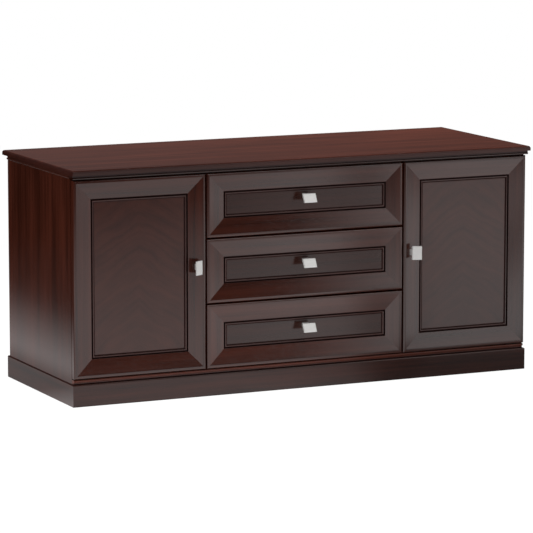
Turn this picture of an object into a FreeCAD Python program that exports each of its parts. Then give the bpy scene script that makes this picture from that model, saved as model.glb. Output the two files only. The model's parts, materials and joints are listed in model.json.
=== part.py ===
import FreeCAD, Part
import os
import re
import Sketcher

# Sideboard with two hinged doors and three drawers. Millimetres, +Z up, the front faces -Y.
# The origin is on the floor, in the middle of the overall width and depth, pulls included.

SIZES = {
    # overall box of the top and the case under it
    "top_width": 1648,
    "top_depth": 637,
    "total_height": 762,
    "top_thick": 16,
    "top_round": 8,
    "top_side_overhang": 8,
    "top_front_overhang": 18,
    "top_back_overhang": 30,
    # moulding under the top
    "cornice_height": 13,
    "cornice_proud": 4,
    "cornice_lead": 8,
    "cornice_nose": 6.2,
    "cornice_sink": 3,
    "cornice_round": 2.8,
    # plinth and the nosing above it
    "plinth_height": 72,
    "plinth_proud": 4.5,
    "plinth_setback": 1.5,
    "plinth_back_proud": 9,
    "plinth_thick": 20,
    "plinth_round": 4,
    "block_side": 45,
    "strip_lift": 6.5,
    "strip_height": 8.5,
    "strip_setback": 7,
    "strip_round": 3.8,
    "strip_sink": 6,
    # carcass boards
    "side_thick": 20,
    "divider_thick": 20,
    "bottom_thick": 25,
    "rail_thick": 25,
    "rail_width": 90,
    "back_thick": 6,
    "shelf_thick": 19,
    "shelf_rise": 300,
    "shelf_setback": 30,
    "shelf_play": 1,
    "support_width": 16,
    "support_leg": 22,
    "support_sheet": 2,
    "support_inset": 60,
    # spaces round the doors and drawer fronts
    "door_top_gap": 4.5,
    "door_bottom_gap": 3,
    "front_gap": 3.4,
    "drawer_bay": 712,
    # moulded frame and panel of every front
    "front_thick": 22,
    "arris": 6,
    "land_width": 10,
    "land_step": 0.8,
    "frame_width": 62,
    "slope_drop": 6,
    "quirk_width": 4.2,
    "quirk_drop": 6,
    "bead_width": 5.6,
    "bead_drop": 3.2,
    "bead_swell": 1.7,
    "panel_recess": 10,
    "panel_thick": 6,
    "panel_play": 1,
    "groove_depth": 4,
    "groove_clear": 0.4,
    "rear_lip": 1.5,
    # wedge pulls
    "pull_length": 46,
    "pull_span": 28,
    "pull_low": 24.5,
    "pull_high": 39.5,
    "pull_plate": 6,
    "pull_offset": 5,
    "pull_round": 1.2,
    "post_length": 20,
    "post_width": 14,
    "door_pull_rise": 18,
    "drawer_pull_share": 0.538,
    # pivot hinges
    "pivot_inset": 8,
    "swing_clear": 0.6,
    "leaf_length": 55,
    "leaf_width": 10,
    "leaf_thick": 1.8,
    "leaf_clear": 0.3,
    "pin_radius": 3,
    "collar_radius": 4.4,
    "pin_clear": 0.05,
    # magnetic catches
    "catch_width": 46,
    "catch_height": 14,
    "catch_depth": 20,
    "catch_inset": 30,
    "strike_width": 38,
    "strike_thick": 1.2,
    # drawer boxes and their runners
    "runner_gap": 12.7,
    "runner_height": 42,
    "runner_length": 480,
    "runner_sheet": 1.5,
    "runner_clear": 0.4,
    "runner_setback": 3,
    "runner_rise": 45,
    "box_rise": 28,
    "box_headroom": 30.4,
    "box_depth": 500,
    "box_side_thick": 12,
    "box_end_thick": 14,
    "box_floor_thick": 6,
    "box_floor_rise": 10,
    "box_groove": 6,
    "box_clear": 0.3,
}

LAYOUT = {
    # widths
    "side_face": "top_width / 2 - top_side_overhang",
    "side_inner": "side_face - side_thick",
    "bay_edge": "drawer_bay / 2",
    "bay_wall": "bay_edge - divider_thick / 2",
    "cupboard_wall": "bay_edge + divider_thick / 2",
    "door_inner": "bay_edge + front_gap / 2",
    "door_width": "side_face - door_inner",
    "drawer_width": "drawer_bay - front_gap",
    # depths, from the front to the back
    "frame_slope": "(slope_drop - land_step) / (frame_width - land_width)",
    "pull_seat": "land_step + (frame_width / 2 - land_width) * frame_slope",
    "pull_reach": "pull_high - pull_seat",
    "drawer_post_lift": "panel_recess - pull_seat",
    "door_face": "(pull_reach + top_front_overhang - top_depth) / 2",
    "top_front": "door_face - top_front_overhang",
    "top_back": "top_front + top_depth",
    "case_back": "top_back - top_back_overhang",
    "back_face": "case_back - back_thick",
    "front_rear": "door_face + front_thick",
    "swing": "sqrt(pivot_inset * pivot_inset + front_thick * front_thick / 4) - front_thick / 2",
    "case_front": "front_rear + swing + swing_clear",
    "panel_front": "door_face + panel_recess",
    "cornice_front": "door_face - cornice_lead",
    "strip_front": "door_face + strip_setback",
    "plinth_front": "door_face + plinth_setback",
    "plinth_back": "case_back + plinth_back_proud",
    "plinth_width": "2 * side_face + 2 * plinth_proud",
    "plinth_depth": "plinth_back - plinth_front",
    # heights
    "top_under": "total_height - top_thick",
    "cornice_under": "top_under - cornice_height",
    "rail_under": "top_under - rail_thick",
    "door_top": "cornice_under - door_top_gap",
    "strip_under": "plinth_height + strip_lift",
    "strip_top": "strip_under + strip_height",
    "door_bottom": "strip_top + door_bottom_gap",
    "floor_top": "plinth_height + bottom_thick",
    "shelf_under": "floor_top + shelf_rise",
    "front_height": "door_top - door_bottom",
    "drawer_height": "(front_height - 2 * front_gap) / 3",
    "drawer_pitch": "drawer_height + front_gap",
    # section of the frame moulding
    "quirk_depth": "slope_drop + quirk_drop",
    "bead_start": "frame_width + quirk_width",
    "member_width": "bead_start + bead_width",
    "bead_crown": "panel_recess - bead_drop",
    "bead_chord": "bead_width * bead_width + bead_drop * bead_drop",
    "bead_radius": "bead_chord / (8 * bead_swell) + bead_swell / 2",
    "groove_floor": "member_width - groove_depth",
    "groove_back": "panel_recess + panel_thick + groove_clear",
    "rear_edge": "member_width - rear_lip",
    "panel_inset": "groove_floor + panel_play",
    "drawer_opening": "drawer_height - 2 * member_width",
    "drawer_pull_rise": "(drawer_opening - post_width) / 2 * drawer_pull_share",
    # hinges, catches and drawer boxes
    "pivot_x": "side_face - pivot_inset",
    "pivot_y": "door_face + front_thick / 2",
    "strike_rear": "front_rear + strike_thick",
    "box_half": "bay_wall - runner_gap",
    "box_height": "drawer_height - box_rise - box_headroom",
    "box_back": "front_rear + box_depth",
    "runner_front": "case_front + runner_setback",
}

X, Y, Z = FreeCAD.Vector(1, 0, 0), FreeCAD.Vector(0, 1, 0), FreeCAD.Vector(0, 0, 1)

doc = FreeCAD.newDocument("sideboard")
nodes = []


def fill_sheet(name, cells, formula):
    """A sheet with one aliased cell for each entry."""
    sheet = doc.addObject("Spreadsheet::Sheet", name)
    for row, (alias, entry) in enumerate(cells.items(), start=1):
        sheet.set(f"A{row}", alias)
        sheet.set(f"B{row}", formula(entry))
        sheet.setAlias(f"B{row}", alias)
    doc.recompute()
    return sheet


def lead(text, sheets):
    """The expression with each size led by the name of its sheet."""
    def named(word):
        return sheets.get(word[0], "") + word[0]
    return re.sub(r"[a-z_]+", named, text)


IN_SIZES = dict.fromkeys(SIZES, "Sizes.")
IN_SHEETS = {**IN_SIZES, **dict.fromkeys(LAYOUT, "Layout.")}
sizes = fill_sheet("Sizes", SIZES, str)
fill_sheet("Layout", LAYOUT, lambda text: "=" + lead(text, IN_SIZES))


def bind(thing, **properties):
    """Bind properties of an object to expressions in the sizes."""
    for name, text in properties.items():
        thing.setExpression(name, lead(text, IN_SHEETS))
    return thing


def value(text):
    return float(sizes.evalExpression(lead(text, IN_SHEETS)))


def place(thing, x, y, z, axes=(X, Y, Z)):
    """Turn an object's own axes to the given ones and bind its place."""
    thing.Placement = FreeCAD.Placement(FreeCAD.Vector(), FreeCAD.Rotation(*axes, "XYZ"))
    for axis, text in zip("xyz", (x, y, z)):
        thing.setExpression(f".Placement.Base.{axis}", lead(text, IN_SHEETS))
    return thing


def node(label, thing):
    """Mark an object as a finished sub-part."""
    thing.Label = label
    nodes.append(thing)
    return thing


def box(x, y, z):
    """A board between low and high expressions along each axis."""
    board = doc.addObject("Part::Box", "Board")
    spans = [f"({high}) - ({low})" for low, high in (x, y, z)]
    bind(board, Length=spans[0], Width=spans[1], Height=spans[2])
    return place(board, x[0], y[0], z[0])


def rod(radius, length, x, y, z):
    """An upright round pin."""
    return place(bind(doc.addObject("Part::Cylinder", "Rod"), Radius=radius, Height=length), x, y, z)


def cut(base, tool):
    result = doc.addObject("Part::Cut", "Cut")
    result.Base, result.Tool = base, tool
    return result


def fuse(*things):
    result = doc.addObject("Part::MultiFuse", "Fusion")
    result.Shapes = list(things)
    result.Refine = True
    return result


def group(*things):
    """Separate solids that share one sub-part."""
    result = doc.addObject("Part::Compound", "Group")
    result.Links = list(things)
    return result


def outline(sketch, corners, rounds=None):
    """Closed outline with every corner bound to the sizes.

    rounds gives, by the number of the corner where an arc starts, its radius and the side to
    which it swells: 1 for the left of the way to the next corner, -1 for the right.
    """
    rounds = rounds or {}
    points = [FreeCAD.Vector(value(across), value(up), 0) for across, up in corners]
    ends = []
    for at, start in enumerate(points):
        stop = points[(at + 1) % len(points)]
        if at in rounds:
            radius, side = rounds[at]
            chord = stop - start
            rise = value(radius) - (value(radius) ** 2 - chord.Length ** 2 / 4) ** 0.5
            swell = Z.cross(chord).normalize() * rise * side
            edge = Part.Arc(start, (start + stop) / 2 + swell, stop)
        else:
            edge = Part.LineSegment(start, stop)
        geometry = sketch.addGeometry(edge)
        first, last = (sketch.getPoint(geometry, end) - start for end in (1, 2))
        forward = first.Length < last.Length
        ends.append((geometry, 1, 2) if forward else (geometry, 2, 1))
    for at, (geometry, first, last) in enumerate(ends):
        following = ends[(at + 1) % len(ends)]
        sketch.addConstraint(Sketcher.Constraint("Coincident", geometry, last, following[0], following[1]))
        for axis, text, size in zip("XY", corners[at], points[at]):
            fix_size(sketch, f"{axis}{at}", text, ("Distance" + axis, -1, 1, geometry, first, size))
        if at in rounds:
            fix_size(sketch, f"radius{at}", rounds[at][0], ("Radius", geometry, value(rounds[at][0])))
    return sketch


def fix_size(sketch, name, text, constraint):
    """Add one dimension to a sketch and bind it to an expression."""
    index = sketch.addConstraint(Sketcher.Constraint(*constraint))
    sketch.renameConstraint(index, name)
    sketch.setExpression(f"Constraints.{name}", lead(text, IN_SHEETS))


def section(name, corners, rounds=None):
    """Section of a moulding that runs along its own X axis: Y across it, Z up or back."""
    sketch = doc.addObject("Sketcher::SketchObject", name)
    sketch.Placement = FreeCAD.Placement(FreeCAD.Vector(), FreeCAD.Rotation(Y, Z, X, "XYZ"))
    return outline(sketch, corners, rounds)


def run(profile, length):
    """A length of moulding, centred on its own origin."""
    moulding = doc.addObject("Part::Extrusion", "Run")
    moulding.Base = profile
    moulding.DirMode = "Custom"
    moulding.Dir = X
    moulding.Solid = True
    return bind(moulding, LengthFwd=f"({length}) / 2", LengthRev=f"({length}) / 2")


def mitred(profile, length, across, rise, low=1, high=1):
    """A run of moulding sawn at 45 degrees at its low end, its high end or both."""
    saw = doc.addObject("Part::Wedge", "Mitre")
    bind(saw, Xmin=f"-({length}) / 2", Xmax=f"({length}) / 2", Ymin="0", Ymax=across, Zmin="0", Zmax=rise)
    bind(saw, X2min=f"-({length}) / 2 + {low} * {across}", X2max=f"({length}) / 2 - {high} * {across}")
    bind(saw, Z2min="0", Z2max=rise)
    piece = doc.addObject("Part::Common", "Mitred")
    piece.Base, piece.Tool = run(profile, length), saw
    return piece


def attach(body, role, name):
    """A sketch on one of the body's own origin planes."""
    sketch = body.newObject("Sketcher::SketchObject", name)
    plane = next(item for item in body.Origin.OriginFeatures if item.Role == role)
    sketch.AttachmentSupport = (plane, "")
    sketch.MapMode = "FlatFace"
    return sketch


def pad(body, sketch, length, symmetric=False):
    feature = body.newObject("PartDesign::Pad", "Pad")
    feature.Profile = sketch
    if symmetric:
        feature.SideType = "Symmetric"
    bind(feature, Length=length)
    doc.recompute()
    return feature


def soften(body, radius, chosen):
    """Round the edges of the body that the test picks out."""
    base = body.Tip
    names = [f"Edge{at}" for at, edge in enumerate(base.Shape.Edges, start=1) if chosen(edge)]
    feature = body.newObject("PartDesign::Fillet", "Round")
    feature.Base = (base, names)
    bind(feature, Radius=radius)
    doc.recompute()
    return feature


# top and the mouldings under it

def top_slab():
    body = doc.addObject("PartDesign::Body", "Top")
    corners = [("-top_width / 2", "top_front"), ("top_width / 2", "top_front"),
               ("top_width / 2", "top_back"), ("-top_width / 2", "top_back")]
    pad(body, outline(attach(body, "XY_Plane", "TopOutline"), corners), "top_thick")
    upper = value("top_thick")
    soften(body, "top_round", lambda edge: all(abs(end.Z - upper) < 1e-6 for end in edge.Vertexes))
    return place(body, "0", "0", "top_under")


def cornice_section(name, depth):
    """A rounded nose with a sunk band above it, from its front face back and upwards."""
    corners = [("0", "cornice_round"), ("cornice_round", "0"), (depth, "0"), (depth, "cornice_height"),
               ("cornice_sink", "cornice_height"), ("cornice_sink", "cornice_nose"),
               ("cornice_round", "cornice_nose"), ("0", "cornice_nose - cornice_round")]
    return section(name, corners, {0: ("cornice_round", -1), 6: ("cornice_round", -1)})


def cornice():
    front = cornice_section("CorniceFront", "case_front - cornice_front")
    width = "2 * side_face + 2 * cornice_proud"
    node("cornice_front", place(run(front, width), "0", "cornice_front", "cornice_under"))
    end = cornice_section("CorniceEnd", "cornice_proud")
    length, middle = "case_back - case_front", "(case_back + case_front) / 2"
    left = place(run(end, length), "-side_face - cornice_proud", middle, "cornice_under", (-Y, X, Z))
    right = place(run(end, length), "side_face + cornice_proud", middle, "cornice_under", (Y, -X, Z))
    node("cornice_ends", group(left, right))


def base_strip():
    """A rounded nosing on a sunk foot that stands on the plinth."""
    depth, height = "case_front - strip_front", "strip_lift + strip_height"
    corners = [("strip_sink", "0"), (depth, "0"), (depth, height), ("strip_round", height),
               ("0", f"{height} - strip_round"), ("0", "strip_lift + strip_round"),
               ("strip_round", "strip_lift"), ("strip_sink", "strip_lift")]
    nosing = section("BaseNosing", corners, {3: ("strip_round", -1), 5: ("strip_round", -1)})
    return place(run(nosing, "2 * side_face"), "0", "strip_front", "plinth_height")


def plinth():
    corners = [("0", "0"), ("plinth_thick", "0"), ("plinth_thick", "plinth_height"),
               ("plinth_round", "plinth_height"), ("0", "plinth_height - plinth_round")]
    board = section("PlinthBoard", corners, {3: ("plinth_round", -1)})
    front = mitred(board, "plinth_width", "plinth_thick", "plinth_height")
    node("plinth_front", place(front, "0", "plinth_front", "0"))
    half, middle = "plinth_width / 2", "plinth_front + plinth_depth / 2"
    left = mitred(board, "plinth_depth", "plinth_thick", "plinth_height", low=0)
    right = mitred(board, "plinth_depth", "plinth_thick", "plinth_height", high=0)
    place(left, f"-{half}", middle, "0", (-Y, X, Z))
    place(right, half, middle, "0", (Y, -X, Z))
    node("plinth_ends", group(left, right))
    inside = f"{half} - plinth_thick"
    rear = ("plinth_back - plinth_thick", "plinth_back")
    node("plinth_back", box((f"-({inside})", inside), rear, ("0", "plinth_height")))
    ahead = "plinth_front + plinth_thick"
    blocks = []
    for low, high in ((f"-({inside})", f"-({inside}) + block_side"), (f"{inside} - block_side", inside)):
        for depths in ((ahead, f"{ahead} + block_side"), (f"{rear[0]} - block_side", rear[0])):
            blocks.append(box((low, high), depths, ("plinth_height - block_side", "plinth_height")))
    node("plinth_corner_blocks", group(*blocks))


# carcass

def carcass():
    depths = ("case_front", "case_back")
    inner_depths = ("case_front", "back_face")
    heights = ("plinth_height", "top_under")
    node("left_side_panel", box(("-side_face", "-side_inner"), depths, heights))
    node("right_side_panel", box(("side_inner", "side_face"), depths, heights))
    across = ("-side_inner", "side_inner")
    node("bottom_panel", box(across, inner_depths, ("plinth_height", "floor_top")))
    node("back_panel", box(across, ("back_face", "case_back"), heights))
    rails = ("rail_under", "top_under")
    node("front_top_rail", box(across, ("case_front", "case_front + rail_width"), rails))
    node("rear_top_rail", box(across, ("back_face - rail_width", "back_face"), rails))
    standing = ("floor_top", "rail_under")
    node("left_divider", box(("-cupboard_wall", "-bay_wall"), inner_depths, standing))
    node("right_divider", box(("bay_wall", "cupboard_wall"), inner_depths, standing))


def support(wall, side, depth):
    """A small angle that carries one corner of a shelf; side is 1 where it stands towards +X."""
    ends = (wall, f"{wall} + {side} * support_leg")
    sheet = (wall, f"{wall} + {side} * support_sheet")
    if side < 0:
        ends, sheet = ends[::-1], sheet[::-1]
    span = (depth, f"{depth} + support_width")
    leaf = box(sheet, span, ("shelf_under - support_leg", "shelf_under"))
    ledge = box(ends, span, ("shelf_under - support_sheet", "shelf_under"))
    return fuse(leaf, ledge)


def shelves():
    supports = []
    depths = ("case_front + shelf_setback", "back_face - shelf_play")
    heights = ("shelf_under", "shelf_under + shelf_thick")
    walls = {"left": ("-side_inner", "-cupboard_wall"), "right": ("cupboard_wall", "side_inner")}
    for hand, (low, high) in walls.items():
        across = (f"{low} + shelf_play", f"{high} - shelf_play")
        node(f"{hand}_shelf", box(across, depths, heights))
        for depth in (f"{depths[0]} + support_inset", "back_face - support_inset - support_width"):
            supports.append(support(low, 1, depth))
            supports.append(support(high, -1, depth))
    node("shelf_supports", group(*supports))


# framed fronts

def frame_section():
    """Frame moulding: Y inwards from the outer edge, Z back from the face."""
    corners = [("0", "arris"), ("arris", "0"), ("land_width", "0"), ("land_width", "land_step"),
               ("frame_width", "slope_drop"), ("frame_width", "quirk_depth"), ("bead_start", "quirk_depth"),
               ("bead_start", "bead_crown"), ("member_width", "panel_recess"),
               ("groove_floor", "panel_recess"), ("groove_floor", "groove_back"),
               ("rear_edge", "groove_back"), ("rear_edge", "front_thick"), ("0", "front_thick")]
    return section("FrameMoulding", corners, {0: ("arris", -1), 7: ("bead_radius", -1)})


def frame(profile, left, bottom, width, height):
    """The two rails and the two stiles of one front, each a pair of mitred lengths."""
    middle, centre = f"({left}) + ({width}) / 2", f"({bottom}) + ({height}) / 2"
    right, top = f"({left}) + ({width})", f"({bottom}) + ({height})"

    def member(length, x, z, axes):
        return place(mitred(profile, length, "member_width", "front_thick"), x, "door_face", z, axes)

    rails = group(member(width, middle, top, (X, -Z, Y)), member(width, middle, bottom, (-X, Z, Y)))
    stiles = group(member(height, left, centre, (Z, X, Y)), member(height, right, centre, (-Z, -X, Y)))
    return rails, stiles


def front_panel(left, bottom, width, height):
    across = (f"({left}) + panel_inset", f"({left}) + ({width}) - panel_inset")
    heights = (f"({bottom}) + panel_inset", f"({bottom}) + ({height}) - panel_inset")
    return box(across, ("panel_front", "panel_front + panel_thick"), heights)


def pull(seat_slope, lift):
    """A wedge pull: X along it, Y towards its proud lip, Z out from the wood that it sits on.

    seat_slope is how much the wood falls away for each millimetre towards the lip, and lift is
    how much longer the post is than on a door.
    """
    body = doc.addObject("PartDesign::Body", "Pull")
    near, far = "pull_offset - pull_span / 2", "pull_offset + pull_span / 2"
    low, high = f"pull_low + {lift}", f"pull_high + {lift}"
    plate = [(near, low), (near, f"{low} - pull_plate"), (far, f"{high} - pull_plate"), (far, high)]
    pad(body, outline(attach(body, "YZ_Plane", "Plate"), plate), "pull_length", symmetric=True)
    tilt = "(pull_high - pull_low) / pull_span"
    half = "post_width / 2"

    def underside(y):
        return f"{low} - pull_plate / 2 + (({y}) - ({near})) * {tilt}"

    post = [(f"-{half}", f"{half} * {seat_slope}"), (half, f"-{half} * {seat_slope}"),
            (half, underside(half)), (f"-{half}", underside(f"-{half}"))]
    pad(body, outline(attach(body, "YZ_Plane", "Post"), post), "post_length", symmetric=True)
    slope, lowest, ends = value(tilt), value(low), value("pull_length") / 2
    start = value(near)

    def on_face(edge):
        return all(abs(end.Z - lowest - (end.Y - start) * slope) < 1e-6 for end in edge.Vertexes)

    def at_corner(edge):
        first, last = edge.Vertexes[0].Point, edge.Vertexes[-1].Point
        return abs(abs(first.x) - ends) < 1e-6 and abs((last - first).dot(Z)) > edge.Length - 1e-6

    soften(body, "pull_round", lambda edge: on_face(edge) or at_corner(edge))
    return body


# hinges and catches

def knuckle(x, z, side):
    """Outline of one hinge leaf: a bar towards the door's free edge with a round end at the pivot."""
    reach = (x, f"{x} + {side} * leaf_length")
    if side < 0:
        reach = reach[::-1]
    bar = box(reach, ("pivot_y - leaf_width / 2", "pivot_y + leaf_width / 2"), (z, f"{z} + leaf_thick"))
    return fuse(bar, rod("leaf_width / 2", "leaf_thick", x, "pivot_y", z))


def door_leaves(x, side):
    """The two leaves let into a door's edges, bored for the pins."""
    leaves = []
    for z in ("door_top - leaf_thick", "door_bottom"):
        bore = rod("pin_radius + pin_clear", "leaf_thick", x, "pivot_y", z)
        leaves.append(cut(knuckle(x, z, side), bore))
    return group(*leaves)


def case_leaves(x, side):
    """The leaves on the cornice and on the base strip, with their collars and pins."""
    upper, lower = "cornice_under - leaf_thick", "strip_top + leaf_thick"
    collar, pin = "door_top + leaf_clear", "door_top - leaf_thick + leaf_clear"
    top = fuse(knuckle(x, upper, side),
               rod("collar_radius", f"{upper} - ({collar})", x, "pivot_y", collar),
               rod("pin_radius", f"{upper} - ({pin})", x, "pivot_y", pin))
    foot = fuse(knuckle(x, "strip_top", side),
                rod("collar_radius", "door_bottom_gap - leaf_thick - leaf_clear", x, "pivot_y", lower),
                rod("pin_radius", "door_bottom_gap - leaf_clear", x, "pivot_y", lower))
    return [top, foot]


def doors(profile):
    leaves, catches = [], []
    for hand, side in (("left", 1), ("right", -1)):
        left = "-side_face" if side > 0 else "door_inner"
        area = (left, "door_bottom", "door_width", "front_height")
        pivot = f"{-side} * pivot_x"
        rails, stiles = frame(profile, *area)
        mortises = group(knuckle(pivot, "door_top - leaf_thick", side), knuckle(pivot, "door_bottom", side))
        node(f"{hand}_door_rails", cut(rails, mortises))
        node(f"{hand}_door_stiles", cut(stiles, mortises))
        node(f"{hand}_door_panel", front_panel(*area))
        node(f"{hand}_door_hinge_leaves", door_leaves(pivot, side))
        leaves += case_leaves(pivot, side)
        handle = pull("frame_slope", "0")
        grip = f"{-side} * (door_inner + frame_width / 2)"
        height = "(door_top + door_bottom) / 2 + door_pull_rise"
        axes = (Z, -X, -Y) if side > 0 else (-Z, X, -Y)
        node(f"{hand}_door_pull", place(handle, grip, "door_face + pull_seat", height, axes))
        outer = f"{-side} * (cupboard_wall + catch_inset + catch_width / 2)"
        catches.append(box((f"{outer} - catch_width / 2", f"{outer} + catch_width / 2"),
                           ("strike_rear + leaf_clear", "case_front + catch_depth"),
                           ("rail_under - catch_height", "rail_under")))
        node(f"{hand}_door_strike", box((f"{outer} - strike_width / 2", f"{outer} + strike_width / 2"),
                                        ("front_rear", "strike_rear"),
                                        ("rail_under - catch_height", "rail_under")))
    node("case_hinge_leaves", group(*leaves))
    node("door_catches", group(*catches))


# drawers

def channel(x, y, z, hollow):
    """A folded steel channel: the outer box less the hollow along its whole length."""
    return cut(box(x, y, z), hollow)


def drawer_box(name, low):
    """Sides, ends and floor of one drawer; low is the underside of the sides."""
    depths = ("front_rear", "box_back")
    heights = (low, f"{low} + box_height")
    inner = "box_half - box_side_thick"
    floor = (f"{low} + box_floor_rise", f"{low} + box_floor_rise + box_floor_thick")
    slot = (floor[0], f"{floor[1]} + box_clear")
    reach = f"{inner} + box_groove"
    floor_front = "front_rear + box_end_thick - box_groove"
    groove = box((f"-({reach})", reach), (floor_front, "box_back"), slot)
    sides = [box(("-box_half", f"-({inner})"), depths, heights), box((inner, "box_half"), depths, heights)]
    node(f"{name}_box_sides", cut(group(*sides), groove))
    across = (f"-({inner})", inner)
    sub_front = cut(box(across, ("front_rear", "front_rear + box_end_thick"), heights), groove)
    back = box(across, ("box_back - box_end_thick", "box_back"), (slot[1], heights[1]))
    node(f"{name}_box_ends", group(sub_front, back))
    play = f"{reach} - box_clear"
    node(f"{name}_box_floor", box((f"-({play})", play), (f"{floor_front} + box_clear", "box_back"), floor))


def runners(low):
    """The two fixed channels and the two drawer channels that slide in them."""
    fixed, sliding = [], []
    long = ("runner_front", "runner_front + runner_length")
    heights = (low, f"{low} + runner_height")
    inside = (f"{low} + runner_sheet", f"{low} + runner_height - runner_sheet")
    nested = (f"{inside[0]} + runner_clear", f"{inside[1]} - runner_clear")
    hollow = (f"{nested[0]} + runner_sheet", f"{nested[1]} - runner_sheet")
    lip = "box_half + runner_sheet + runner_clear"
    web = "bay_wall - runner_sheet"
    edge = f"{web} - runner_clear"
    for side in (-1, 1):
        def across(near, far):
            ends = (f"{side} * ({near})", f"{side} * ({far})")
            return ends if side > 0 else ends[::-1]

        fixed.append(channel(across(lip, "bay_wall"), long, heights, box(across(lip, web), long, inside)))
        sliding.append(channel(across("box_half", edge), long, nested,
                               box(across("box_half + runner_sheet", edge), long, hollow)))
    return fixed, sliding


def drawers(profile):
    fixed = []
    for at, name in enumerate(("lower_drawer", "middle_drawer", "upper_drawer")):
        bottom = f"door_bottom + {at} * drawer_pitch"
        area = ("-drawer_width / 2", bottom, "drawer_width", "drawer_height")
        rails, stiles = frame(profile, *area)
        node(f"{name}_rails", rails)
        node(f"{name}_stiles", stiles)
        node(f"{name}_panel", front_panel(*area))
        height = f"{bottom} + drawer_height / 2 + drawer_pull_rise"
        node(f"{name}_pull", place(pull("0", "drawer_post_lift"), "0", "panel_front", height, (-X, -Z, -Y)))
        drawer_box(name, f"{bottom} + box_rise")
        held, sliding = runners(f"{bottom} + box_rise + runner_rise")
        fixed += held
        node(f"{name}_runners", group(*sliding))
    node("case_runners", group(*fixed))


def check_and_write():
    """Refuse a failed or empty shape, then write one file for each sub-part."""
    doc.recompute()
    failed = [thing.Label for thing in doc.Objects if {"Invalid", "Error"} & set(thing.State)]
    failed += [thing.Label for thing in nodes if thing.Shape.isNull() or not thing.Shape.isValid()]
    if failed:
        raise RuntimeError("failed shapes: " + ", ".join(failed))
    os.makedirs("parts", exist_ok=True)
    for thing in nodes:
        thing.Shape.exportStep(f"parts/{thing.Label}.step")
    print(len(nodes), "sub-parts,", sum(len(thing.Shape.Solids) for thing in nodes), "solids")


node("top_slab", top_slab())
cornice()
carcass()
shelves()
node("base_strip", base_strip())
plinth()
moulding = frame_section()
doors(moulding)
drawers(moulding)
check_and_write()
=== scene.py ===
import json
import math

import bpy
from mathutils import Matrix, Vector


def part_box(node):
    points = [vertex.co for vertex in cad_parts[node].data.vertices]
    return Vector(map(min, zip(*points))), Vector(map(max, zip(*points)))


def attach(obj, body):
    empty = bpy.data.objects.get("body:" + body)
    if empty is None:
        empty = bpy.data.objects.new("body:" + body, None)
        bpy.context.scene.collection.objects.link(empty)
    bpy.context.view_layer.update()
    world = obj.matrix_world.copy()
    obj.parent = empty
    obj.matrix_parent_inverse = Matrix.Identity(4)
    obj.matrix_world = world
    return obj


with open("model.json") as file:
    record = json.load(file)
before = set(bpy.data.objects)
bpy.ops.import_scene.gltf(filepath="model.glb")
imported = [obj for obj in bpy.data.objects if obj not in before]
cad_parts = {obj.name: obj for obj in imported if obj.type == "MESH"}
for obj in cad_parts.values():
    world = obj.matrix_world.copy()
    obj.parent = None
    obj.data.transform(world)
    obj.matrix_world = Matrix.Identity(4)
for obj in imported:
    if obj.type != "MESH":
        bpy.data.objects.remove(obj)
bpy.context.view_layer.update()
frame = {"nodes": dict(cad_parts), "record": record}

# Looks of a sideboard with two doors and three drawers. Metres, +Z up, the front faces -Y.

# The photograph's viewpoint, worked out from the object's edges.
CAMERA_PLACE = (-4.6804, -10.1242, 2.0815)
CAMERA_TURN = math.radians(24.7701)
CAMERA_DIP = math.radians(8.7605)
CAMERA_LENS, CAMERA_SENSOR = 227.46, 36
CAMERA_RANGE = 200


# shaders

class Wire:
    """One shader value. Arithmetic on it adds Math nodes to the same tree."""

    def __init__(self, shader, socket):
        self.shader = shader
        self.socket = socket

    def math(self, operation, *values):
        return self.shader.node("ShaderNodeMath", {"operation": operation}, dict(enumerate(values)))

    def __add__(self, other):
        return self.math("ADD", self, other)

    def __sub__(self, other):
        return self.math("SUBTRACT", self, other)

    def __rsub__(self, other):
        return self.math("SUBTRACT", other, self)

    def __mul__(self, other):
        return self.math("MULTIPLY", self, other)

    def __pow__(self, other):
        return self.math("POWER", self, other)

    def __abs__(self):
        return self.math("ABSOLUTE", self)

    __radd__ = __add__
    __rmul__ = __mul__


class Shader:
    """A node tree that is wired up by name."""

    def __init__(self, tree):
        self.tree = tree

    def node(self, kind, settings=None, inputs=None, output=0):
        """Add a node: its settings first, then a value or a wire for each socket that is named."""
        made = self.tree.nodes.new(kind)
        for name, setting in (settings or {}).items():
            setattr(made, name, setting)
        self.feed(made, inputs or {})
        return Wire(self, made.outputs[output])

    def feed(self, made, inputs):
        """Set or wire a node's sockets."""
        for key, entry in inputs.items():
            socket = made.inputs[key]
            if isinstance(entry, Wire):
                self.tree.links.new(entry.socket, socket)
            else:
                socket.default_value = entry

    def parts(self, vector):
        """A vector's X, Y and Z."""
        made = self.tree.nodes.new("ShaderNodeSeparateXYZ")
        self.feed(made, {0: vector})
        return [Wire(self, socket) for socket in made.outputs]

    def mix(self, amount, first, second):
        """Mix two colours, each a wire or red, green and blue."""
        colours = [entry if isinstance(entry, Wire) else (*entry, 1) for entry in (first, second)]
        inputs = {0: amount, 6: colours[0], 7: colours[1]}
        return self.node("ShaderNodeMix", {"data_type": "RGBA"}, inputs, output=2)

    def spread(self, entry, low, high, start=0, stop=1):
        """A value brought from the range low to high into the range start to stop, without overshoot."""
        ends = {"Value": entry, 1: low, 2: high, 3: start, 4: stop}
        return self.node("ShaderNodeMapRange", {"clamp": True}, ends)


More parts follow.
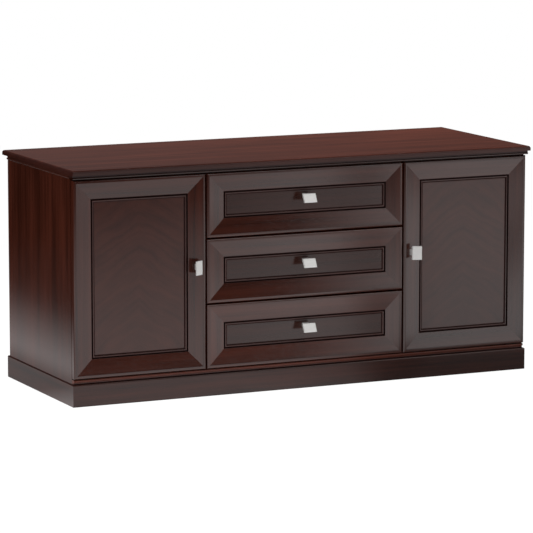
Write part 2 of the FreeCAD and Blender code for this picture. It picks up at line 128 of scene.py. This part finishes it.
class Finish(Shader):
    """A material with one Principled surface."""

    def __init__(self, name):
        self.material = bpy.data.materials.new(name)
        self.material.use_nodes = True
        super().__init__(self.material.node_tree)
        self.surface = self.tree.nodes["Principled BSDF"]

    def place(self):
        """The point's place on the piece along X, Y and Z."""
        return self.parts(self.node("ShaderNodeTexCoord", output="Object"))

    def noise(self, x, y, z, detail=2.0, roughness=0.5, distortion=0.0):
        """Noise at a point whose three measures are already scaled."""
        point = self.node("ShaderNodeCombineXYZ", inputs={0: x, 1: y, 2: z})
        inputs = {"Vector": point, "Scale": 1.0, "Detail": detail, "Roughness": roughness}
        return self.node("ShaderNodeTexNoise", inputs={**inputs, "Distortion": distortion})

    def streaks(self, measures, cells, **kind):
        """Noise drawn out along the grain, with so many cells to the metre along it and across it."""
        length, width, depth = measures
        along, across = cells
        return self.noise(length * along, width * across, depth * across, **kind)

    def speckle(self, cells, **kind):
        """Noise that is the same in all directions, with so many cells to the metre."""
        return self.streaks(self.place(), (cells, cells), **kind)

    def inset(self, area):
        """How far the point lies inside a front's outline, given as low and high corners."""
        x, _, z = self.place()
        low, high = area
        beside = (high.x - low.x) / 2 - abs(x - (low.x + high.x) / 2)
        below = (high.z - low.z) / 2 - abs(z - (low.z + high.z) / 2)
        return beside.math("MINIMUM", beside, below)

    def relief(self, height, depth, strength):
        """Bump of a given depth in metres, for the surface's Normal."""
        inputs = {"Strength": strength, "Distance": depth, "Height": height}
        return self.node("ShaderNodeBump", inputs=inputs, output="Normal")

    def coat(self, **inputs):
        """Set or wire the surface's own sockets, named with _ for a space."""
        self.feed(self.surface, {name.replace("_", " "): entry for name, entry in inputs.items()})
        return self.material


# grain

# The veneer of the door panels: how it leans, how short its streaks are, and how it wanders.
VENEER_LEAN = math.radians(33)
VENEER_SHORTENING = 5
VENEER_WAVE, VENEER_WAVE_CELLS = 0.05, 8


def grain_axis(node):
    """The way the grain runs in a wooden node."""
    upright = ("side_panel", "divider", "stiles", "blocks")
    fore_and_aft = ("cornice_ends", "plinth_ends", "box_sides")
    if node.endswith(upright):
        return "Z"
    return "Y" if node.endswith(fore_and_aft) else "X"


def straight(axis):
    """Grain that runs along one axis: the measures along it, across it and through it."""
    order = {"X": (0, 2, 1), "Y": (1, 2, 0), "Z": (2, 0, 1)}[axis]

    def measures(finish):
        place = finish.place()
        return [place[at] for at in order]
    return measures


def matched(node):
    """Two mirrored leaves of veneer that meet on a panel's upright middle line, the grain rising to it."""
    low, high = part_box(node)
    middle = (low.x + high.x) / 2
    rise, run = math.sin(VENEER_LEAN), math.cos(VENEER_LEAN)

    def measures(finish):
        x, y, z = finish.place()
        out = abs(x - middle)
        wave = (finish.speckle(VENEER_WAVE_CELLS, detail=3) - 0.5) * VENEER_WAVE
        return [(z * rise - out * run) * VENEER_SHORTENING, z * run + out * rise + wave, y]
    return measures


# painted shade: darkening in the hollows of the mouldings and on the slab's edges, the cornice and the
# base strip

# The frame moulding across a front, from the outline inwards: frame, quirk (a groove) and bead.
FRAME_WIDTH, QUIRK_WIDTH, BEAD_WIDTH = 0.0620, 0.0042, 0.0056
BEAD_START = FRAME_WIDTH + QUIRK_WIDTH
MEMBER_WIDTH = BEAD_START + BEAD_WIDTH

# Fades of the painted shade, each from none to full: inside a front's outline, and behind its face.
QUIRK_OUTER = (FRAME_WIDTH - 0.0014, FRAME_WIDTH - 0.0004)
QUIRK_INNER = (BEAD_START + 0.0016, BEAD_START + 0.0002)
BEAD_FOOT = (BEAD_START + 0.0022, MEMBER_WIDTH - 0.0004)
PANEL_EDGE = (MEMBER_WIDTH + 0.0034, MEMBER_WIDTH + 0.0008)
FRONT_HALF = (0.0135, 0.0125)
BEAD_AMOUNT = 0.9

# Bands of painted shade along the slab's edge, the cornice and the base strip.
BAND_FADE = 0.0004
SLAB_ARRIS, SLAB_AMOUNT = 0.0008, 0.6
CORNICE_NOSE, CORNICE_AMOUNT = 0.0064, 0.7
STRIP_FOOT, STRIP_AMOUNT = 0.0022, 0.9


def in_quirk(area):
    """Painted shade darkens the quirk round the panel and where the bead meets the panel."""
    face = area[0].y

    def painted_shade(finish):
        _, y, _ = finish.place()
        inwards = finish.inset(area)
        quirk = finish.spread(inwards, *QUIRK_OUTER) * finish.spread(inwards, *QUIRK_INNER)
        bead = finish.spread(inwards, *BEAD_FOOT) * BEAD_AMOUNT
        return (quirk + bead) * finish.spread(y - face, *FRONT_HALF)
    return painted_shade


def at_bead(area):
    """Painted shade darkens the panel along the bead."""
    def painted_shade(finish):
        return finish.spread(finish.inset(area), *PANEL_EDGE)
    return painted_shade


def band(low, high, amount):
    """Painted shade darkens the wood between two heights."""
    def painted_shade(finish):
        z = finish.place()[2]
        return finish.spread(z, low - BAND_FADE, low) * finish.spread(z, high + BAND_FADE, high) * amount
    return painted_shade


def front_of(node):
    """The door or drawer that a node belongs to."""
    return node.rsplit("_", 1)[0]


def painted_shade_on(slot, node):
    """Where painted shade darkens a wooden node, or None."""
    if slot in ("frame_wood", "door_panel_veneer", "drawer_panel_veneer"):
        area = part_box(front_of(node) + "_rails")
        return in_quirk(area) if slot == "frame_wood" else at_bead(area)
    low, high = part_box(node)
    # Painted shade on the slab's edges below its top arris, on the cornice above its nose under the
    # overhanging slab, and on the foot of the base strip above the plinth.
    if node == "top_slab":
        return band(low.z, high.z - SLAB_ARRIS, SLAB_AMOUNT)
    if node == "cornice_front":
        return band(low.z + CORNICE_NOSE, high.z, CORNICE_AMOUNT)
    if node == "base_strip":
        return band(low.z, low.z + STRIP_FOOT, STRIP_AMOUNT)
    return None


# wood

STAIN = (0.0680, 0.0163, 0.0092)
# The dark colour of the pores, which is also the colour of the painted shade in the hollows and bands; the
# painted shade also roughens the lacquer.
PORE_AND_SHADE_COLOUR = (0.0250, 0.0036, 0.0022)
STREAK_GAINS = (0.62, 1.38)
PAINTED_SHADE_ROUGHNESS = 0.5

# Layers of the figure: cells to the metre along the grain and across it.
CLOUD, RIBBON, FIBRE, PORES = (3, 14), (0.9, 46), (7, 420), (55, 1500)
RINGS, PALE_FIBRE, FLECKS = (1.4, 60), (14, 620), (90, 1300)

# The layers' shares of the tone, and where a layer's noise passes from none to full.
RIBBON_SHARE, FIBRE_SHARE, CLOUD_SHARE, RING_SHARE = 0.6, 0.1, 0.3, 0.7
TONE_LEVELS, PORE_LEVELS = (0.37, 0.63), (0.60, 0.72)
RING_LEVELS, FLECK_LEVELS = (0.3, 0.7), (0.62, 0.75)
# How much the marks darken and roughen the wood, and the depth of its grain.
PORE_AMOUNT, FLECK_AMOUNT, FLECK_SHADE = 0.4, 0.35, 0.6
FIBRE_ROUGHNESS, PORE_ROUGHNESS, PALE_ROUGHNESS = 0.06, 0.08, 0.1
FIBRE_HEIGHT, PORE_DEPTH = 0.4, 0.6
GRAIN_DEPTH, PALE_GRAIN_DEPTH = 0.00012, 0.0001

# How each slot is stained and lacquered, or each node where the pieces of a slot differ.
STAINS = {
    "top_veneer": {"tint": 1.25},
    # The cornice's front is stained darker than its ends: painted shade under the overhanging slab.
    "cornice_front": {"tint": 0.45},
    "cornice_ends": {"tint": 0.8, "sheen": 0.5},
    "base_strip": {"tint": 1.75, "gloss": 0.3},
    "side_veneer": {"tint": 0.95, "figure": 1.5},
    "plinth_wood": {"tint": 0.60, "figure": 1.5, "gloss": 0.44},
    "frame_wood": {"tint": 0.78, "sheen": 0.08, "gloss": 0.62, "dull": 0.75},
    "door_panel_veneer": {"tint": 0.78, "figure": 0.65, "dull": 0.75},
    "drawer_panel_veneer": {"tint": 0.50, "figure": 0.8, "dull": 0.75},
    "carcass_board": {"tint": 0.9, "sheen": 0.34, "figure": 0.8},
    "back_board": {"tint": 0.6, "sheen": 0.5, "figure": 0.6},
}
# The frames of these drawers are stained a little redder than the others: painted light, standing in for
# how the light falls on them.
FRAME_TINTS = {"lower_drawer": 0.92, "middle_drawer": 0.82}

# Unstained wood: its dark and light streaks, and the roughness of its lacquer.
PALE_WOODS = {
    "drawer_box_wood": ((0.50, 0.33, 0.18), (0.62, 0.44, 0.26), 0.38),
    "drawer_floor_board": ((0.42, 0.27, 0.14), (0.55, 0.38, 0.22), 0.45),
    "inner_wood": ((0.40, 0.25, 0.13), (0.52, 0.36, 0.20), 0.6),
}


def stained_wood(name, grain, tint, sheen=0.12, figure=1.0, gloss=0.5, dull=0.0, painted_shade=None):
    """Veneer or solid wood under dark stain and satin lacquer.

    tint scales the stain's colour, figure the contrast of its streaks, sheen is the lacquer's roughness
    and gloss its shine. The painted shade argument gives where painted shade darkens the wood, and dull
    how much of the shine it takes there.
    """
    finish = Finish(name)
    measures = grain(finish)
    cloud = finish.streaks(measures, CLOUD, detail=3)
    ribbon = finish.streaks(measures, RIBBON, detail=4, roughness=0.6, distortion=0.2)
    fibre = finish.streaks(measures, FIBRE, detail=3, roughness=0.65)
    pores = finish.spread(finish.streaks(measures, PORES, detail=1), *PORE_LEVELS)
    tone = ribbon * RIBBON_SHARE + fibre * FIBRE_SHARE + cloud * CLOUD_SHARE
    tone = finish.spread((tone - 0.5) * figure + 0.5, *TONE_LEVELS)
    dark, light = ([part * tint * gain for part in STAIN] for gain in STREAK_GAINS)
    colour = finish.mix(pores * PORE_AMOUNT, finish.mix(tone, dark, light), PORE_AND_SHADE_COLOUR)
    rough = sheen + fibre * FIBRE_ROUGHNESS + pores * PORE_ROUGHNESS
    # Where painted shade lies, the wood takes the dark colour, and its lacquer grows rougher and, through
    # a dark metallic share, loses its shine.
    if painted_shade:
        amount = painted_shade(finish)
        colour = finish.mix(amount, colour, PORE_AND_SHADE_COLOUR)
        rough = rough + amount * PAINTED_SHADE_ROUGHNESS
        if dull:
            finish.coat(Metallic=amount * dull)
    height = fibre * FIBRE_HEIGHT - pores * PORE_DEPTH
    return finish.coat(Base_Color=colour, Roughness=rough, Specular_IOR_Level=gloss,
                       Normal=finish.relief(height, GRAIN_DEPTH, strength=0.2))


def plain_wood(name, grain, dark, light, sheen):
    """Pale drawer wood and boards under thin clear lacquer."""
    finish = Finish(name)
    measures = grain(finish)
    rings = finish.streaks(measures, RINGS, detail=3, distortion=0.5)
    fibre = finish.streaks(measures, PALE_FIBRE)
    flecks = finish.spread(finish.streaks(measures, FLECKS), *FLECK_LEVELS)
    tone = finish.spread(rings * RING_SHARE + fibre * (1 - RING_SHARE), *RING_LEVELS)
    colour = finish.mix(tone, dark, light)
    colour = finish.mix(flecks * FLECK_AMOUNT, colour, [part * FLECK_SHADE for part in dark])
    return finish.coat(Base_Color=colour, Roughness=sheen + fibre * PALE_ROUGHNESS,
                       Normal=finish.relief(fibre, PALE_GRAIN_DEPTH, strength=0.3))


def wood_finish(slot, node):
    """The finish of a wooden node. Nodes without painted shade share one for each slot and way of the
    grain.
    """
    axis = grain_axis(node)
    painted_shade = painted_shade_on(slot, node)
    name = node if painted_shade else f"{slot}_{axis}"
    if not painted_shade and name in bpy.data.materials:
        return bpy.data.materials[name]
    if slot in PALE_WOODS:
        return plain_wood(name, straight(axis), *PALE_WOODS[slot])
    stain = dict(STAINS.get(node) or STAINS[slot])
    if slot == "frame_wood":
        stain["tint"] = FRAME_TINTS.get(front_of(node), stain["tint"])
    grain = matched(node) if slot == "door_panel_veneer" else straight(axis)
    return stained_wood(name, grain, painted_shade=painted_shade, **stain)


# metal and plastic

PULL_TONES = (0.90, 0.885, 0.86), (0.97, 0.955, 0.93)
PLASTIC_TONES = (0.018, 0.017, 0.016), (0.030, 0.028, 0.027)
ZINC_PLATE, ZINC_RUNNER, DARK_BRONZE = (0.56, 0.56, 0.55), (0.62, 0.62, 0.61), (0.018, 0.013, 0.010)
SPANGLE_SHADE = 0.82
# Cells to the metre in the texture of each finish.
CAST_CELLS, PLATING_CELLS = 900, 60
SPANGLE_CELLS, ROLLED_ALONG, ROLLED_ACROSS = 140, 30, 1400
PLASTIC_GRAIN_CELLS, PLASTIC_CLOUD_CELLS = 1800, 80


def satin_metal():
    """Cast pulls, satin plated."""
    finish = Finish("satin_plating")
    cast = finish.speckle(CAST_CELLS, detail=3)
    cloud = finish.speckle(PLATING_CELLS)
    colour = finish.mix(cloud, *PULL_TONES)
    return finish.coat(Base_Color=colour, Metallic=0.30, Roughness=0.38 + cloud * 0.10,
                       Normal=finish.relief(cast, depth=0.00005, strength=0.25))


def zinc_steel(name, tint):
    """Plated sheet steel with a faint spangle, rolled from front to back."""
    finish = Finish(name)
    x, y, z = finish.place()
    spangle = finish.speckle(SPANGLE_CELLS)
    rolled = finish.noise(x * ROLLED_ACROSS, y * ROLLED_ALONG, z * ROLLED_ACROSS)
    colour = finish.mix(spangle, tint, [part * SPANGLE_SHADE for part in tint])
    return finish.coat(Base_Color=colour, Metallic=1.0, Roughness=0.30 + spangle * 0.14,
                       Normal=finish.relief(rolled, depth=0.00004, strength=0.3))


def moulded_plastic():
    """Dark plastic with a fine moulded grain."""
    finish = Finish("moulded_plastic")
    grain = finish.speckle(PLASTIC_GRAIN_CELLS)
    colour = finish.mix(finish.speckle(PLASTIC_CLOUD_CELLS), *PLASTIC_TONES)
    return finish.coat(Base_Color=colour, Roughness=0.42 + grain * 0.12,
                       Normal=finish.relief(grain, depth=0.00008, strength=0.4))


def fitting_finishes():
    """The finishes of pulls and fittings, by slot."""
    return {"pull_metal": satin_metal(),
            "fitting_steel": zinc_steel("zinc_plate", ZINC_PLATE),
            "hinge_bronze": zinc_steel("dark_bronze", DARK_BRONZE),
            "runner_steel": zinc_steel("zinc_runner", ZINC_RUNNER),
            "catch_plastic": moulded_plastic()}


def dress_nodes(fittings):
    """Give every node its finish."""
    for part in frame["record"]["subparts"]:
        node, slot = part["node"], part["material_slot"]
        material = fittings.get(slot) or wood_finish(slot, node)
        for holder in frame["nodes"][node].material_slots:
            holder.material = material


# small fasteners and bumpers

HEAD_RADIUS, HEAD_HEIGHT, HEAD_SIDES = 0.0040, 0.0022, 24
HEAD_ROUND = HEAD_HEIGHT * 0.6
CROWN_RADIUS = HEAD_RADIUS * 0.55
RECESS_ARM, RECESS_DEPTH, RECESS_TAPER = 0.0011, 0.0011, 0.75
BUMPER_RADIUS, BUMPER_HEIGHT, BUMPER_SIDES = 0.0035, 0.0026, 20
BUMPER_ROUND, BUMPER_DISH = BUMPER_HEIGHT * 0.45, BUMPER_HEIGHT * 0.08
BUMPER_RIM = BUMPER_RADIUS * 0.25
ROUND_STEPS = 4
HEAD_SMOOTHING, BUMPER_SMOOTHING = math.radians(40), math.radians(50)
NEARLY = 0.99


def pick_faces(piece, wanted):
    """Select, in edit mode, the faces whose centre and normal are wanted."""
    bpy.ops.mesh.select_all(action="DESELECT")
    bpy.ops.object.mode_set(mode="OBJECT")
    for face in piece.data.polygons:
        face.select = wanted(face.center, face.normal)
    bpy.ops.object.mode_set(mode="EDIT")


def top_at(height):
    """The test for level faces at that height, for pick_faces."""
    def wanted(centre, normal):
        return normal.z > NEARLY and centre.z > height * NEARLY
    return wanted


def turned_blank(sides, radius, height):
    """A round blank that stands on Z = 0, open for shaping."""
    bpy.ops.object.select_all(action="DESELECT")
    middle = (0, 0, height / 2)
    bpy.ops.mesh.primitive_cylinder_add(vertices=sides, radius=radius, depth=height, location=middle)
    bpy.ops.object.transform_apply(location=True, rotation=True, scale=True)
    bpy.ops.object.mode_set(mode="EDIT")
    bpy.ops.mesh.select_mode(type="FACE")
    return bpy.context.object


def shaped(piece, angle):
    """Close the piece's shaping and smooth its rounds."""
    bpy.ops.object.mode_set(mode="OBJECT")
    bpy.ops.object.shade_smooth_by_angle(angle=angle)
    return piece


def screw_head():
    """A domed screw head with a cross recess, facing +Z."""
    head = turned_blank(HEAD_SIDES, HEAD_RADIUS, HEAD_HEIGHT)
    on_top = top_at(HEAD_HEIGHT)

    def in_crown(centre, normal):
        return on_top(centre, normal) and math.hypot(centre.x, centre.y) < CROWN_RADIUS

    def in_cross(centre, normal):
        return in_crown(centre, normal) and min(abs(centre.x), abs(centre.y)) < RECESS_ARM / 2

    pick_faces(head, on_top)
    bpy.ops.mesh.bevel(offset=HEAD_ROUND, segments=ROUND_STEPS, affect="EDGES")
    pick_faces(head, on_top)
    bpy.ops.mesh.inset(thickness=HEAD_RADIUS - HEAD_ROUND - CROWN_RADIUS)
    for axis in ((1, 0, 0), (0, 1, 0)):
        for side in (-1, 1):
            pick_faces(head, in_crown)
            bpy.ops.mesh.bisect(plane_co=[side * RECESS_ARM / 2 * part for part in axis], plane_no=axis)
    pick_faces(head, in_cross)
    bpy.ops.mesh.extrude_region_move(TRANSFORM_OT_translate={"value": (0, 0, -RECESS_DEPTH)})
    bpy.ops.transform.resize(value=(RECESS_TAPER, RECESS_TAPER, 1), center_override=(0, 0, 0))
    return shaped(head, HEAD_SMOOTHING)


def bumper():
    """A soft stick-on bumper with a rounded rim and a dished face, facing +Z."""
    pad = turned_blank(BUMPER_SIDES, BUMPER_RADIUS, BUMPER_HEIGHT)
    on_top = top_at(BUMPER_HEIGHT)
    pick_faces(pad, on_top)
    bpy.ops.mesh.bevel(offset=BUMPER_ROUND, segments=ROUND_STEPS, affect="EDGES")
    pick_faces(pad, on_top)
    bpy.ops.mesh.inset(thickness=BUMPER_RIM)
    bpy.ops.mesh.extrude_region_move(TRANSFORM_OT_translate={"value": (0, 0, -BUMPER_DISH)})
    return shaped(pad, BUMPER_SMOOTHING)


def set_out(model, name, body, finish, places):
    """Copy a model to each place, turned the way it faces there, and join the copies into one piece."""
    bpy.ops.object.select_all(action="DESELECT")
    for place, facing in places:
        copy = model.copy()
        copy.data = model.data.copy()
        copy.location = place
        copy.rotation_euler = Vector(facing).to_track_quat("Z", "Y").to_euler()
        bpy.context.collection.objects.link(copy)
        copy.select_set(True)
        bpy.context.view_layer.objects.active = copy
    bpy.ops.object.transform_apply(location=True, rotation=True, scale=True)
    if len(places) > 1:
        bpy.ops.object.join()
    piece = bpy.context.object
    piece.name = name
    piece.data.materials.clear()
    piece.data.materials.append(finish)
    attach(piece, body)


# The ways that fasteners face, and their places on the pieces that hold them.
BACKWARDS, TO_RIGHT, TO_LEFT = (0, 1, 0), (1, 0, 0), (-1, 0, 0)
BACK_SCREW_INSET, BACK_SCREW_COLUMNS, BACK_SCREW_ROWS = 0.009, 7, 5
ANGLE_SHEET, ANGLE_SCREW_INSET, ANGLE_SCREW_RISE = 0.002, 0.008, 0.009
POST_BELOW_TOP = 0.009
SUB_FRONT = 0.014
DOOR_BUMPER_INSET, DOOR_BUMPER_FROM_END, DRAWER_BUMPER_INSET = 0.0043, 0.05, 0.0040


def back_screw_places():
    """Screws all round the back panel, and an upright row into each divider."""
    low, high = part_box("back_panel")
    left, right = low.x + BACK_SCREW_INSET, high.x - BACK_SCREW_INSET
    lower, upper = low.z + BACK_SCREW_INSET, high.z - BACK_SCREW_INSET
    across, up = (right - left) / (BACK_SCREW_COLUMNS - 1), (upper - lower) / (BACK_SCREW_ROWS - 1)
    columns = [left + across * step for step in range(BACK_SCREW_COLUMNS)]
    rows_between = [lower + up * step for step in range(1, BACK_SCREW_ROWS - 1)]
    spots = [(x, z) for x in columns for z in (lower, upper)]
    spots += [(x, z) for x in (left, right) for z in rows_between]
    for divider in ("left_divider", "right_divider"):
        near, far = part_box(divider)
        spots += [((near.x + far.x) / 2, z) for z in rows_between]
    return [((x, high.y, z), BACKWARDS) for x, z in spots]


def shelf_screw_places():
    """One screw in the upright leaf of each shelf angle."""
    low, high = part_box("shelf_supports")
    depths = [low.y + ANGLE_SCREW_INSET, high.y - ANGLE_SCREW_INSET]
    rise = low.z + ANGLE_SCREW_RISE
    faces = [(low.x + ANGLE_SHEET, TO_RIGHT), (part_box("left_divider")[0].x - ANGLE_SHEET, TO_LEFT),
             (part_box("right_divider")[1].x + ANGLE_SHEET, TO_RIGHT), (high.x - ANGLE_SHEET, TO_LEFT)]
    return [((x, y, rise), facing) for x, facing in faces for y in depths]


def small_fittings(fittings):
    """Screw heads in the back, the shelf angles and behind the pulls, and bumpers on the fronts."""
    head, pad = screw_head(), bumper()

    def screws(name, body, places):
        set_out(head, name, body, fittings["fitting_steel"], places)

    def bumpers(name, body, spots):
        places = [(spot, BACKWARDS) for spot in spots]
        set_out(pad, name, body, fittings["catch_plastic"], places)

    screws("back_panel_screws", "case", back_screw_places())
    screws("shelf_angle_screws", "case", shelf_screw_places())
    for door, side in (("left_door", -1), ("right_door", 1)):
        low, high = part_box(f"{door}_stiles")
        grip_low, grip_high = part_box(f"{door}_pull")
        free_edge = min(abs(low.x), abs(high.x))
        spot = (side * (free_edge + FRAME_WIDTH / 2), high.y, (grip_low.z + grip_high.z) / 2)
        screws(f"{door}_pull_screw", door, [(spot, BACKWARDS)])
        heights = (low.z + DOOR_BUMPER_FROM_END, high.z - DOOR_BUMPER_FROM_END)
        bumpers(f"{door}_bumpers", door,
                [(side * (free_edge + DOOR_BUMPER_INSET), high.y, z) for z in heights])
    for drawer in ("lower_drawer", "middle_drawer", "upper_drawer"):
        low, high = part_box(f"{drawer}_stiles")
        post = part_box(f"{drawer}_pull")[1].z - POST_BELOW_TOP
        screws(f"{drawer}_pull_screw", drawer, [((0, high.y + SUB_FRONT, post), BACKWARDS)])
        reach = high.x - DRAWER_BUMPER_INSET
        bumpers(f"{drawer}_bumpers", drawer,
                [(side * reach, high.y, (low.z + high.z) / 2) for side in (-1, 1)])
    for model in (head, pad):
        bpy.data.objects.remove(model)


# floor, room and light

BLACK, WHITE, COOL_WHITE = (0, 0, 0), (1, 1, 1), (1, 1, 1.01)

# The floor's glow. Each pair is where a fade starts and where it ends.
FLOOR_PLACE, FLOOR_SIZE = (0, -1.7, 0), (9, 9.5)
FLOOR_LEVEL, FLOOR_STRENGTH = 1.12, 2.0
FLOOR_GREY, FLOOR_ROUGHNESS = (0.01, 0.01, 0.01), 0.9
FADE_AHEAD, FADE_BEHIND = (-4.6, -1.5), (2.8, 2.0)
FADE_LEFT, FADE_RIGHT = (-4.4, -3.0), (4.4, 3.0)
AHEAD_FALLOFF = 0.6
# On the right the glow reaches further ahead, in two steps.
REACH_MIDDLE, REACH_MIDDLE_BY = (0.2, 1.4), 0.5
REACH_RIGHT, REACH_RIGHT_BY = (1.6, 2.3), 2.0
# Beside the left end of the object only a strip of the floor glows.
BESIDE_X, BESIDE_Y = (-0.7, -0.8), (-0.35, 0.05)
BESIDE_OUTER, BESIDE_FALLOFF = (-1.50, -1.02), 1.3
BESIDE_INNER, BESIDE_LEVELS = (-0.97, -1.07), (0.35, 0.85)
# Lanes of the floor run away from the viewer, named by where they meet the middle of the object.
LANE_SLOPE = 0.466
BRIGHT_LANE, BRIGHT_WIDTH, BRIGHT_BY = -0.10, (0.30, 0.05), 0.20
RIGHT_LANES, RIGHT_LANES_BY = (0.15, 0.45), 0.25
DULL_LANE, DULL_WIDTH, DULL_BY = 0.20, (0.16, 0.04), 0.48
# Close to the plinth the right half of the floor is dark.
SHADE_X, SHADE_Y, SHADE_BY = (-0.15, 0.55), (-0.95, -0.70), 0.82
# The camera sees the floor as the white background.
SEEN_STRENGTH, SEEN_SHARE = 1.05, 0.96

# The room's dim light ahead of the object and behind it, and where these pass into each other.
ROOM_AHEAD = (0.030, 0.030, 0.031)
ROOM_BEHIND_LEFT = (0.074, 0.074, 0.076)
ROOM_BEHIND_RIGHT = (0.040, 0.039, 0.039)
ROOM_SIDES, ROOM_DEPTHS, ROOM_RISE = (0.34, 0.47), (-0.3, 0.3), (-0.02, 0.06)

# White cards: the far one is for the lacquer, and the high one for the tilted faces of the pulls.
FAR_CARD = {"place": (3.7, -5.8, 0.75), "size": (3.0, 1.5), "tilt": 90, "strength": 1.4,
            "fade": (2.5, 3.15)}
HIGH_CARD = {"place": (2.15, -3.1, 3.4), "size": (2.4, 2.6), "tilt": 40, "strength": 1.7}

BACK_LIGHT = {"place": (0.9, 1.3, 2.8), "aim": (0, 0, 0.7), "power": 100, "size": 1.0}
# Suns that shine on the origin: the way each comes from, its power and its spread in degrees.
SUNS = {
    "key_light": ((1.0, -1.45, 3.6), 0.62, 20),
    "front_light": ((1.3, -1.7, 0.55), 0.43, 20),
    "top_light": ((0.1, 0.4, 3.6), 0.72, 30),
    "side_light": ((-4, 0.8, 1.8), 1.3, 30),
}


def lit_sheet(name, place, size, turn=(0, 0, 0)):
    """A flat sheet of the studio, its place and size in its mesh, and a finish to light it with."""
    bpy.ops.mesh.primitive_plane_add(size=1, location=place, rotation=turn)
    sheet = bpy.context.object
    sheet.name = name
    sheet.scale = (*size, 1)
    bpy.ops.object.transform_apply(location=True, rotation=True, scale=True)
    finish = Finish(name + "_white")
    sheet.data.materials.append(finish.material)
    return sheet, finish


def floor_glow(finish):
    """How brightly the floor glows: about 1 near the object, and 0 far from it."""
    x, y, _ = finish.place()
    reach = y + finish.spread(x, *REACH_RIGHT) * REACH_RIGHT_BY
    reach = reach + finish.spread(x, *REACH_MIDDLE) * REACH_MIDDLE_BY
    ahead = finish.spread(reach, *FADE_AHEAD) ** AHEAD_FALLOFF
    behind = finish.spread(y, *FADE_BEHIND)
    ends = finish.spread(x, *FADE_LEFT) * finish.spread(x, *FADE_RIGHT)
    strip = finish.spread(x, *BESIDE_OUTER) ** BESIDE_FALLOFF
    strip = strip * finish.spread(x, *BESIDE_INNER, *BESIDE_LEVELS)
    beside = finish.spread(y, *BESIDE_Y) * finish.spread(x, *BESIDE_X) * (1 - strip)
    lane = x + y * LANE_SLOPE
    bright = finish.spread(abs(lane - BRIGHT_LANE), *BRIGHT_WIDTH) * BRIGHT_BY
    bright = bright + finish.spread(lane, *RIGHT_LANES) * RIGHT_LANES_BY
    dull = finish.spread(abs(lane - DULL_LANE), *DULL_WIDTH) * DULL_BY
    shade = finish.spread(y, *SHADE_Y) * finish.spread(x, *SHADE_X) * SHADE_BY
    level = (FLOOR_LEVEL + bright) * (1 - dull) * (1 - shade)
    return ahead * behind * ends * (1 - beside) * level


def floor():
    """A white sheet that glows near the object and fades away from it."""
    _, finish = lit_sheet("floor", FLOOR_PLACE, FLOOR_SIZE)
    glow = finish.mix(floor_glow(finish) * (1 / FLOOR_STRENGTH), BLACK, COOL_WHITE)
    finish.coat(Base_Color=(*FLOOR_GREY, 1), Roughness=FLOOR_ROUGHNESS,
                Emission_Color=glow, Emission_Strength=FLOOR_STRENGTH)
    seen = finish.node("ShaderNodeLightPath", output="Is Camera Ray")
    lit = Wire(finish, finish.surface.outputs[0])
    white = finish.node("ShaderNodeEmission", inputs={"Strength": SEEN_STRENGTH})
    mixed = finish.node("ShaderNodeMixShader", inputs={0: seen * SEEN_SHARE, 1: lit, 2: white})
    finish.feed(finish.tree.nodes["Material Output"], {"Surface": mixed})


def card(name, place, size, tilt, strength, fade=None):
    """A white card that only shiny surfaces show. fade is where it passes from dark to white along X."""
    sheet, finish = lit_sheet(name, place, size, (math.radians(tilt), 0, 0))
    sheet.visible_camera = False
    sheet.visible_diffuse = False
    glow = (*WHITE, 1)
    if fade:
        glow = finish.mix(finish.spread(finish.place()[0], *fade), BLACK, COOL_WHITE)
    finish.coat(Base_Color=(*BLACK, 1), Emission_Color=glow, Emission_Strength=strength)


def room():
    """White behind the object, and a dim room above the floor for all else."""
    world = bpy.data.worlds.new("room")
    bpy.context.scene.world = world
    world.use_nodes = True
    shader = Shader(world.node_tree)
    side, depth, rise = shader.parts(shader.node("ShaderNodeTexCoord", output="Generated"))
    behind = shader.mix(shader.spread(side, *ROOM_SIDES), ROOM_BEHIND_LEFT, ROOM_BEHIND_RIGHT)
    glow = shader.mix(shader.spread(depth, *ROOM_DEPTHS), ROOM_AHEAD, behind)
    dim = shader.mix(shader.spread(rise, *ROOM_RISE), BLACK, glow)
    seen = shader.node("ShaderNodeLightPath", output="Is Camera Ray")
    shader.feed(world.node_tree.nodes["Background"], {"Color": shader.mix(seen, dim, WHITE)})


def soft_light(name, kind, place, aim, power, **shape):
    """A soft light that leaves no highlight of its own on the lacquer."""
    light = bpy.data.lights.new(name, kind)
    light.energy = power
    for key, size in shape.items():
        setattr(light, key, size)
    lamp = bpy.data.objects.new(name, light)
    lamp.visible_glossy = False
    lamp.location = place
    lamp.rotation_euler = (Vector(aim) - Vector(place)).to_track_quat("-Z", "Y").to_euler()
    bpy.context.collection.objects.link(lamp)


def studio():
    """Floor, cards, room and lights."""
    floor()
    card("far_card", **FAR_CARD)
    card("high_card", **HIGH_CARD)
    room()
    soft_light("back_light", "AREA", **BACK_LIGHT)
    for name, (place, power, spread) in SUNS.items():
        soft_light(name, "SUN", place, (0, 0, 0), power, angle=math.radians(spread))


def camera():
    """The photograph's view."""
    eye = bpy.data.objects.new("camera", bpy.data.cameras.new("camera"))
    eye.location = CAMERA_PLACE
    eye.rotation_euler = (math.pi / 2 - CAMERA_DIP, 0, -CAMERA_TURN)
    eye.data.lens = CAMERA_LENS
    eye.data.sensor_width = CAMERA_SENSOR
    eye.data.clip_end = CAMERA_RANGE
    bpy.context.collection.objects.link(eye)
    bpy.context.scene.camera = eye


bpy.ops.object.select_all(action="DESELECT")
fittings = fitting_finishes()
dress_nodes(fittings)
small_fittings(fittings)
studio()
camera()
bpy.context.scene.view_settings.view_transform = "Standard"
